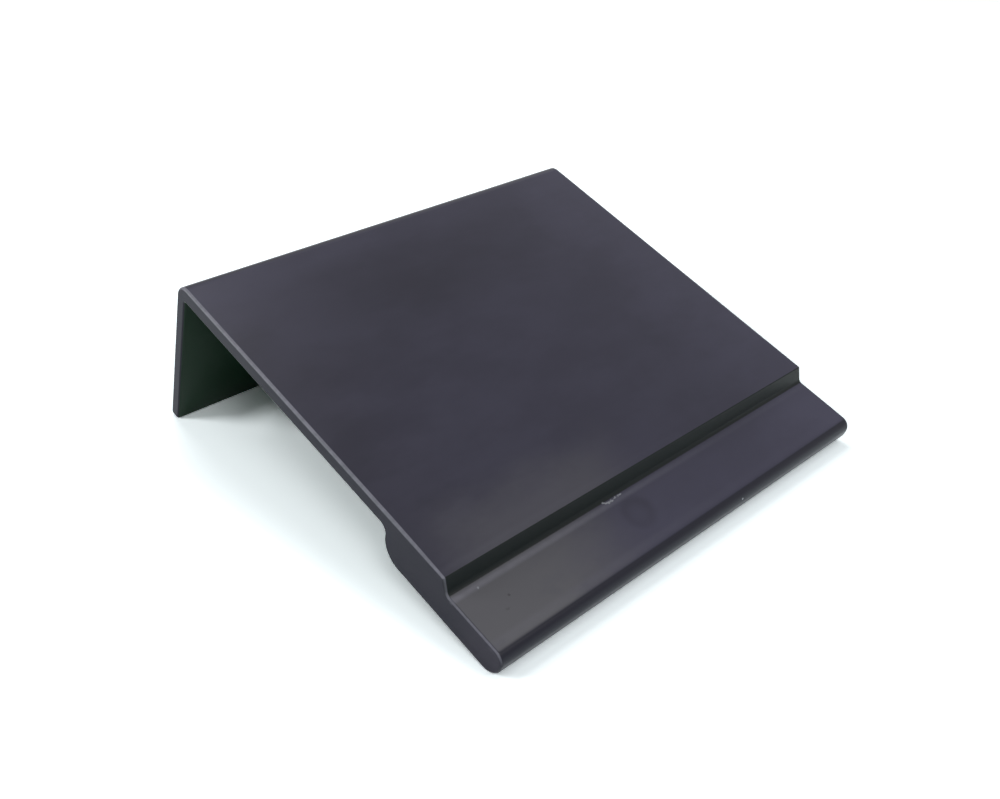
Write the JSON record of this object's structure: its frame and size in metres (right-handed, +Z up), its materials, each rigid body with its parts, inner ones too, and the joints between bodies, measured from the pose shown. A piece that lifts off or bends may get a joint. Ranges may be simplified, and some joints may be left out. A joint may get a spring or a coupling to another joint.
{
  "type": "edge pull handle",
  "caption": "Extruded edge pull for a drawer or cabinet door: a flat plate with a screw flange behind it and a stepped, rounded finger lip in front.",
  "frame": {"origin": "midway between the two screw holes, on the flange face that meets the back of the door", "axes": "+X along the length of the profile, +Y along the screw holes away from the door, so that the lip points to -Y, +Z up from the plate"},
  "size_m": [0.05, 0.047, 0.0177],
  "materials": {
    "black_anodised": "satin black anodised aluminium"
  },
  "bodies": {
    "root": {"edge_pull": "black_anodised"}
  },
  "joints": []
}
